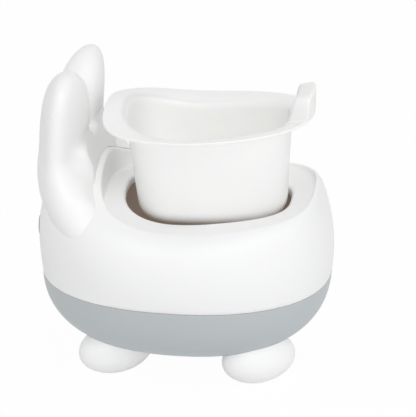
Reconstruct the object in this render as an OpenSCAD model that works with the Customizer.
// Potty training chair: an egg-shaped seat with a pair of ears as its backrest,
// a lift-out bowl and four ball feet.
// +Z is up, the child's legs go to the front (-Y), the ears stand at the back (+Y).
// The origin is on the floor in the middle of the body. All sizes are in millimetres.

/* [Body] */
// Height of the joint between the two shells above the floor
seam_h = 110; // [104:1:118]
// Width of the body at that joint
body_w = 292; // [286:1:300]
// Length of the body at that joint
body_l = 338; // [332:1:346]
// Height of the flat underside above the floor
belly_h = 30; // [24:1:36]
// Wall of both shells
shell_wall = 2.6; // [2:0.1:3.2]
// Height of the locating rib inside the joint
rib_h = 5; // [3:0.5:8]
// Play between parts that fit into each other
play = 0.3; // [0.2:0.05:0.5]

/* [Seat] */
// Width of the recess that the rim of the bowl rests in
recess_w = 226; // [220:1:232]
// Height of the recess edge at its sides above the floor
recess_h = 191; // [186:1:196]
// Width of the opening
opening_w = 143; // [137:1:147]
// Depth of the collar around the opening
collar_h = 10; // [6:1:16]

/* [Backrest] */
// Height of the ear tips above the floor
ear_top = 351; // [340:1:362]
// Length of one ear, with the part that is sunk in the body
ear_l = 190; // [180:1:196]
// Width of one ear
ear_w = 94; // [88:1:98]
// Thickness of one ear
ear_t = 48; // [46:1:52]
// Distance between the ear tips
ear_gap = 105; // [102:1:110]
// Wall of the hollow backrest
ear_wall = 2.4; // [2:0.1:3]

/* [Bowl] */
// Depth from the sides of the rim to the outside of the bottom
bowl_depth = 111; // [94:1:114]
// Wall of the bowl
bowl_wall = 2.4; // [2:0.1:3]
// Height of the splash guard above the rim
guard_h = 26; // [18:1:30]
// Width of the splash guard
guard_w = 70; // [60:1:76]
// Width of the rim
rim_w = 196; // [190:1:200]
// How far the bowl is held above its seat
bowl_lift = 97; // [0:1:110]

/* [Feet] */
// Length of a foot
foot_l = 90; // [84:1:94]
// Thickness of a foot
foot_d = 58; // [54:1:62]
// Angle at which the front ends of the feet turn in
foot_turn = 35; // [25:1:45]
// Wall of a foot
foot_wall = 2.6; // [2:0.1:3.2]
// Distance from the side of the body to the middle of a foot
foot_side = 71; // [68:1:74]
// Distance from the end of the body to the middle of a foot
foot_end = 86; // [83:1:89]
// How far the four feet stand forward of the middle of the body
foot_shift = 10; // [6:1:14]
// Diameter of the anti-slip pad
pad_d = 18; // [14:1:19]
// Thickness of the anti-slip pad
pad_t = 3; // [2.5:0.5:4]

/* [Face] */
// Distance between the eyes
eye_gap = 74; // [64:1:84]
// Height of the eyes above the floor
eye_h = 161; // [155:1:168]
// Height of one eye
eye_l = 26; // [20:1:30]
// Width of one eye
eye_w = 19; // [14:1:22]

/* [Screws] */
// Thread diameter of all screws
screw_d = 4; // [3.5:0.5:4.5]
// Diameter of the screw heads
head_d = 8; // [7:0.5:9]
// Height of the screw heads
head_h = 3; // [2.5:0.5:3.5]

/* [Hidden] */

// ---- outlines: [half width, length to the front, length to the back, squareness, centre y]
body_o = [body_w / 2, body_l / 2, body_l / 2, 2.3, 0];
recess_y = 4;
recess_front = 19;
recess_rear = 81.5;
recess_o = [recess_w / 2, body_l / 2 - recess_front, body_l / 2 - recess_rear, 3.2, recess_y];
recess_lean = 0.8;
opening_o = [opening_w / 2, recess_o[1] - 26.5, recess_o[2] - 23, 3, recess_y];
sides = 56;
angles = [for (i = [0 : sides - 1]) i * 360 / sides];

function grow(o, d) = [o[0] + d, o[1] + d, o[2] + d, o[3], o[4]];
function mix(a, b, t) = a + (b - a) * t;
function reach(o, a) = pow(pow(abs(cos(a)) / o[0], o[3])
    + pow(abs(sin(a)) / (sin(a) > 0 ? o[2] : o[1]), o[3]), -1 / o[3]);
function at(o, a, z) = [reach(o, a) * cos(a), o[4] + reach(o, a) * sin(a), z];
function bezier(a, b, c, d, t) = pow(1 - t, 3) * a + 3 * pow(1 - t, 2) * t * b
    + 3 * (1 - t) * t * t * c + pow(t, 3) * d;
// A value that is `side` at both sides and rises by `front` or `rear` towards the ends
function saddle(a, side, front, rear) = side + (sin(a) > 0 ? rear : front) * pow(sin(a), 2);

// Closed skin through rings with the same number of points, from the first to the last
module skin(rings, loop = false) {
    n = len(rings[0]);
    m = len(rings);
    walls = [for (j = [0 : m - (loop ? 1 : 2)]) for (i = [0 : n - 1])
        let (k = (i + 1) % n, up = (j + 1) % m)
        each [[j * n + i, up * n + k, j * n + k], [j * n + i, up * n + i, up * n + k]]];
    caps = loop ? [] : [[for (i = [0 : n - 1]) i], [for (i = [n - 1 : -1 : 0]) (m - 1) * n + i]];
    polyhedron([for (r = rings) each r], concat(walls, caps), convexity = 10);
}

// ---- surfaces of the body; d moves a surface outwards
function recess_z(a) = saddle(a, recess_h, 20, 51);
function seat_z(a) = saddle(a, recess_h - 0.5, 12, 16 * pow(sin(a), 2));
function opening_z(a) = saddle(a, recess_h - 5.8, 11.5, 22);
function upper_pt(a, t, d) = bezier(
    at(grow(body_o, d), a, seam_h),
    at(grow(body_o, saddle(a, 10, -3, -2) + d), a, seam_h + saddle(a, 36, 6, 54)),
    at(grow(recess_o, saddle(a, 28, -18, 45) + d), a, recess_z(a) + saddle(a, 2, -1, -16) + d),
    at(grow(recess_o, -d), a, recess_z(a) + d), t);
upper_steps = 11;
function upper_rings(d) = [for (j = [0 : upper_steps]) [for (a = angles) upper_pt(a, j / upper_steps, d)]];

function base_scale(t) = 0.5 + 0.5 * pow(1 - pow(t, 2.2), 1 / 1.9);
function base_ring(t, d) = let (o = [for (k = [0 : 2]) body_o[k] * base_scale(t) + d])
    [for (a = angles) at([o[0], o[1], o[2], body_o[3], body_o[4]], a, mix(seam_h, belly_h - d, t))];
base_steps = 10;
function base_rings(d) = [for (j = [base_steps : -1 : 0]) base_ring(sin(90 * j / base_steps), d)];

// Solid bodies that are cut out of, or that trim, what seats on the shells
module body_core(d) {
    skin(concat([[for (a = angles) at(grow(body_o, d), a, seam_h - 1)]], upper_rings(d),
        [[for (a = angles) [cos(a), recess_o[4] + sin(a), recess_h + d]]]));
}
module base_core(d) { skin(base_rings(d)); }

// ---- screw places
post_h = 92;
// Posts of the upper shell: x, y, and the height of their top inside the wall of the seat band
function band_z(x, y) = let (
    a = atan2(y - recess_y, x),
    t = (norm([x, y - recess_y]) - reach(opening_o, a)) / band_w(a))
    band_pt(a, t)[2];
front_post = 42 - body_l / 2;
shell_posts = [for (p = [[-40, front_post], [40, front_post], [-95, 45], [95, 45]])
    [p[0], p[1], band_z(p[0], p[1]) - shell_wall / 2]];
post_d = 2.8 * screw_d;
sleeve_d = head_d + 6;
sleeve_end = 6;
backrest_posts = [for (q = [[108, 0.72], [72, 0.72], [123, 0.72], [57, 0.72]])
    upper_pt(q[0], q[1], 0) - [0, 0, 8]];
foot_boss_h = belly_h + 15;
thread_gap = 0.1;
screw_l = 22;

module place(list) { for (p = list) translate(p) children(); }
module stand(list) { for (p = list) translate([p[0], p[1], 0]) children(); }
module rod(d, low, high) { translate([0, 0, low]) cylinder(d = d, h = high - low, $fn = 32); }

// ---- shells
module upper_shell() {
    w = shell_wall;
    inner = upper_rings(-w);
    color("white") difference() {
        union() {
            skin(concat(upper_rings(0), [
                [for (a = angles) at(grow(recess_o, -recess_lean), a, seat_z(a))],
                [for (a = angles) at(opening_o, a, opening_z(a))],
                [for (a = angles) at(opening_o, a, opening_z(a) - collar_h)],
                [for (a = angles) at(grow(opening_o, w), a, opening_z(a) - collar_h)],
                [for (a = angles) at(grow(opening_o, w), a, opening_z(a) - w)],
                [for (a = angles) at(grow(recess_o, w - recess_lean), a, seat_z(a) - w)]],
                [for (j = [upper_steps : -1 : 0]) inner[j]]), loop = true);
            for (p = shell_posts) translate([p[0], p[1], 0]) rod(post_d, post_h, p[2]);
            intersection() {
                place(backrest_posts) rod(post_d, 0, recess_h);
                body_core(-w / 2);
            }
        }
        stand(shell_posts) rod(screw_d + thread_gap, post_h - 1, post_h + screw_l - 4);
        place(backrest_posts) rod(screw_d + play, -1, recess_h);
        for (s = [-1, 1]) eyes(s, play);
        nose_button(play);
    }
}
module base_shell() {
    w = shell_wall;
    inner = [for (j = [2 : base_steps]) base_ring(sin(90 * j / base_steps), -w)];
    color([0.71, 0.74, 0.75]) difference() {
        union() {
            skin(concat(base_rings(0), [
                [for (a = angles) at(grow(body_o, -w - play), a, seam_h)],
                [for (a = angles) at(grow(body_o, -w - play), a, seam_h + rib_h)],
                [for (a = angles) at(grow(body_o, -2 * w - play), a, seam_h + rib_h)],
                [for (a = angles) at(grow(body_o, -2 * w - play), a, seam_h - 2)]], inner));
            intersection() {
                union() {
                    stand(shell_posts) rod(sleeve_d, 0, post_h);
                    for (x = [-1, 1], y = [-1, 1]) at_foot(x, y) rod(post_d + 2, 0, foot_boss_h);
                }
                base_core(-w / 2);
            }
        }
        stand(shell_posts) rod(head_d + 4 * play, 0, post_h - sleeve_end);
        stand(shell_posts) rod(screw_d + play, 0, post_h + 1);
        for (x = [-1, 1], y = [-1, 1]) at_foot(x, y) {
            rod(screw_d + play, 0, foot_boss_h + 1);
            rod(head_d + 4 * play, foot_boss_h, foot_boss_h + head_h + 1);
        }
    }
}

// ---- backrest: two ears with a saddle between them, one hollow moulding
ear_points = 32;
// How much thicker an ear is along its inner edge than in its middle
ear_taper = 0.45;
ear_y = body_l / 2 - 34;
function ear_ring(v, d) = let (
    low = max(0, -v),
    high = max(0, v),
    w = (ear_w / 2 - d) * pow(1 - pow(abs(v), v > 0 ? 3.4 : 2.8), 1 / 2.1),
    t = (ear_t / 2 - d) * pow(1 - pow(abs(v), v > 0 ? 3.9 : 3.4), 1 / 2) * (1 + 0.9 * low * (1 - low)),
    turn = 3 + 52 * pow(low, 1.4),
    cx = ear_gap / 2 + 6 * high * high + 59 * pow(low, 1.3),
    cy = ear_y - 5.8 * v - 5.3 * high * high - 48 * pow(low, 1.55),
    z = ear_top - ear_l / 2 + (ear_l / 2 - d) * v)
    [for (i = [0 : ear_points - 1])
        let (f = i * 360 / ear_points, r = reach([w, t, t, 2.4, 0], f), x = r * cos(f),
            y = r * sin(f) * (1 - 2 * ear_taper * pow(1 - low, 2) * x / ear_w),
            front = y * cos(turn) - x * sin(turn))
        [cx + x * cos(turn) + y * sin(turn), cy + front * (front < 0 ? 1 + 0.65 * low * low : 1), z]];
module ears(d) {
    for (s = [0, 1]) mirror([s, 0, 0]) skin([for (u = [-0.94 : 0.104 : 0.95]) ear_ring(sin(90 * u), d)]);
}
saddle_o = [78, 50, 32, 2.8, body_l / 2 - 34];
saddle_rise = 30;
saddle_h = 44;
module ear_saddle(d) {
    skin([for (u = [-1 : 0.2 : 1]) let (h = sin(90 * u) * 0.995, g = pow(1 - pow(abs(h), 2.2), 1 / 2.1))
        [for (i = [0 : ear_points - 1])
            at([saddle_o[0] - d, saddle_o[1] - d, (saddle_o[2] - d) * g, saddle_o[3], saddle_o[4]],
                i * 360 / ear_points, recess_h + saddle_rise + (saddle_h - d) * h)]]);
}
// The front of the backrest follows the edge of the recess and leans back further up
crest_w = 7;
crest_rise = 50;
lean_back = 13;
lean_h = 90;
module recess_column(d) {
    skin([[for (a = angles) at(grow(recess_o, crest_w + d), a, seam_h)],
        [for (a = angles) at(grow(recess_o, crest_w + d), a, recess_h + crest_rise)],
        [for (a = angles) at(grow(recess_o, crest_w + lean_back + d), a, recess_h + lean_h)]]);
}
module backrest_solid(d) {
    difference() {
        union() {
            ears(d);
            ear_saddle(d);
        }
        recess_column(d);
    }
}
// Posts for the screws, each on a rib that runs from the front wall to the rear wall
module backrest_ribs() {
    for (p = backrest_posts) translate(p) {
        rod(post_d, -screw_l, screw_l + 14);
        translate([-ear_wall / 2, -ear_w, -screw_l]) cube([ear_wall, 2 * ear_w, 2 * screw_l + 14]);
    }
}
module ear_backrest() {
    color("white") difference() {
        backrest_solid(0);
        difference() {
            backrest_solid(ear_wall);
            backrest_ribs();
        }
        body_core(play);
        place(backrest_posts) rod(screw_d + thread_gap, 0, screw_l + 4);
    }
}

// ---- face: flat ovals in shallow sockets at the back of the shell, each with a peg
dark = [0.2, 0.2, 0.22];
peg_d = 5;
peg_l = 8;
oval_proud = 0.8;
oval_sink = 1.2;
nose_h = eye_h - 24;
// Where the outside of the upper shell is, at angle a and height z
function step_at(a, z, lo = 0, hi = 0.8, n = 14) = let (t = (lo + hi) / 2)
    n == 0 ? t : upper_pt(a, t, 0)[2] < z ? step_at(a, z, t, hi, n - 1) : step_at(a, z, lo, t, n - 1);
module on_shell(a, z) {
    t = step_at(a, z);
    p = upper_pt(a, t, 0);
    n = cross(upper_pt(a + 2, t, 0) - p, upper_pt(a, t + 0.02, 0) - p);
    translate(p) rotate([0, acos(n[2] / norm(n)), atan2(n[1], n[0])]) children();
}
module oval(w, l, low, high) {
    translate([0, 0, low]) linear_extrude(height = high - low)
        polygon([for (i = [0 : 31]) [l / 2 * cos(i * 360 / 32), w / 2 * sin(i * 360 / 32)]]);
}
module button(a, z, w, l, d = 0) {
    on_shell(a, z) {
        oval(w + d, l + d, -oval_sink - d / 2, oval_proud + 10 * d);
        rod(peg_d + d, -peg_l, 0);
    }
}
eye_a = acos(eye_gap / body_l);
module eyes(s, d = 0) { button(s > 0 ? eye_a : 180 - eye_a, eye_h, eye_w, eye_l, d); }
module nose_button(d = 0) { button(90, nose_h, eye_w - 5, eye_l - 17, d); }
module eye_left() { color(dark) eyes(-1); }
module eye_right() { color(dark) eyes(1); }
module nose() { color(dark) nose_button(); }

// ---- bowl: the rim lies parallel to the seat band, the guard is hollow below
bowl_top_o = grow(opening_o, -1.5);
bowl_end_o = [opening_o[0] - 5, opening_o[1] - 4, opening_o[2] - 13, 2.6, recess_y];
corner_r = 20;
rim_edge = 1;
// The rim has its own outline, which is given as a share of the way over the seat band
function rim_o(a) = [rim_w / 2, recess_o[1] - recess_lean - 3 * play, recess_o[2] - recess_lean - 3 * play,
    sin(a) > 0 ? 3.4 : 2.4, recess_y];
function band_w(a) = reach(grow(recess_o, -recess_lean), a) - reach(opening_o, a);
function rim_s(a) = (reach(rim_o(a), a) - reach(opening_o, a)) / band_w(a);
function band_pt(a, t) = mix(at(opening_o, a, opening_z(a)),
    at(grow(recess_o, -recess_lean), a, seat_z(a)), t);
function smooth(t) = t * t * (3 - 2 * t);
// The guard rises steeply from the mouth, has upright ends, and is hollow from below. `inset`
// moves its skin inwards
guard_a = asin(guard_w / 2 / rim_o(-90)[1]);
guard_end = 1.04;
guard_rise = 0.28;
function guard(a, t, inset) = let (
    turn = abs(a - 270) / guard_a + inset / (guard_w / 2),
    s = t - inset / band_w(a))
    turn >= guard_end || s <= 0 ? 0
    : guard_h * pow(1 - pow(turn / guard_end, 12), 0.5)
    * (s > guard_rise ? 1 - 0.08 * pow(t, 8) : smooth(s / guard_rise));
function rim_pt(a, t, up, inset = 0) = let (
    p = band_pt(a, max(0, rim_s(a) * t - inset / band_w(a))),
    skin_in = up > 0 ? 0 : bowl_wall)
    [p[0], p[1], p[2] + play + rim_edge + up + guard(a, t, skin_in)];
function wall_o(t, d) = [for (k = [0 : 4]) mix(bowl_top_o[k], bowl_end_o[k], t) + (k < 3 ? d : 0)];
rim_steps = [0.06, 0.12, 0.2, 0.28, 0.4, 0.6, 0.8, 1];
// The bowl has more points round the ends of the guard
bowl_sides = 46;
bowl_angles = concat(
    [for (i = [0 : bowl_sides]) mix(270 + 1.3 * guard_a - 360, 270 - 1.3 * guard_a, i / bowl_sides)],
    [for (u = [-guard_end, -1.02, -0.97, -0.9, -0.7, -0.35, 0, 0.35, 0.7, 0.9, 0.97, 1.02, guard_end])
        270 + u * guard_a]);
function bowl_side(d) = concat(
    [for (c = [90 : -30 : 0]) [for (a = bowl_angles)
        at(wall_o(1, d - (corner_r + d) * (1 - cos(c))), a,
        recess_h - bowl_depth - d + (corner_r + d) * (1 - sin(c)))]],
    [for (t = [0.65, 0.3, 0.06]) [for (a = bowl_angles)
        at(wall_o(t, d), a, mix(opening_z(a) - 5, recess_h - bowl_depth + corner_r, t))]],
    [[for (a = bowl_angles) at(wall_o(0, d), a, opening_z(a) - 0.4 * d)]]);
function hem_z(a) = band_pt(a, rim_s(a))[2] + 2 * play;
module bowl() {
    w = bowl_wall;
    below = bowl_side(0);
    inside = bowl_side(-w);
    under = [for (t = rim_steps) [for (a = bowl_angles) rim_pt(a, t, 0, t == 1 ? w : 0)]];
    top = [for (t = rim_steps) [for (a = bowl_angles) rim_pt(a, t, w)]];
    hem = [for (inset = [w, 0]) [for (a = bowl_angles)
        let (p = rim_pt(a, 1, 0, inset)) [p[0], p[1], hem_z(a)]]];
    translate([0, 0, bowl_lift]) color("white") skin(concat(below, under, hem,
        [for (j = [len(top) - 1 : -1 : 0]) top[j]],
        [for (j = [len(inside) - 1 : -1 : 0]) inside[j]]));
}

// ---- feet: long balls whose front ends turn in
foot_h = foot_d / 2 - 1;
pad_show = 0.6;
pad_play = 0.2;
module foot_shape(d) {
    difference() {
        translate([0, 0, foot_h]) rotate([90, 0, 0]) rotate_extrude($fn = 72)
            polygon([for (a = [-90 : 10 : 90]) [(foot_d / 2 - d) * cos(a), (foot_l / 2 - d) * sin(a)]]);
        rod(foot_l, -foot_d, pad_show + d);
    }
}
module at_foot(x, y) {
    translate([x * (body_w / 2 - foot_side), y * (body_l / 2 - foot_end) - foot_shift, 0])
        rotate([0, 0, -x * foot_turn]) children();
}
module foot(x, y) {
    color("white") difference() {
        at_foot(x, y) {
            difference() {
                foot_shape(0);
                foot_shape(foot_wall);
            }
            intersection() {
                foot_shape(foot_wall / 2);
                union() {
                    rod(post_d, 0, foot_boss_h);
                    rod(pad_d + 6, 0, pad_t + foot_wall);
                }
            }
        }
        base_core(play / 2);
        at_foot(x, y) rod(screw_d + thread_gap, foot_boss_h - screw_l - 1, foot_boss_h);
        at_foot(x, y) rod(pad_d + 2 * pad_play, -1, pad_t + pad_play / 2);
    }
}
module foot_front_left() { foot(-1, -1); }
module foot_front_right() { foot(1, -1); }
module foot_rear_left() { foot(-1, 1); }
module foot_rear_right() { foot(1, 1); }
module pad(x, y) { color([0.85, 0.85, 0.85]) at_foot(x, y) rod(pad_d, 0, pad_t); }
module pad_front_left() { pad(-1, -1); }
module pad_front_right() { pad(1, -1); }
module pad_rear_left() { pad(-1, 1); }
module pad_rear_right() { pad(1, 1); }

// ---- screws, each with its head down except those of the feet
module screw() {
    color("silver") {
        rod(head_d, -head_h, 0);
        rod(screw_d, 0, screw_l);
    }
}
module shell_screws() { stand(shell_posts) translate([0, 0, post_h - sleeve_end]) screw(); }
module backrest_screws() { place(backrest_posts) screw(); }
module foot_screws() {
    for (x = [-1, 1], y = [-1, 1]) at_foot(x, y) translate([0, 0, foot_boss_h]) mirror([0, 0, 1]) screw();
}

upper_shell();
base_shell();
ear_backrest();
bowl();
foot_front_left();
foot_front_right();
foot_rear_left();
foot_rear_right();
pad_front_left();
pad_front_right();
pad_rear_left();
pad_rear_right();
eye_left();
eye_right();
nose();
shell_screws();
foot_screws();
backrest_screws();
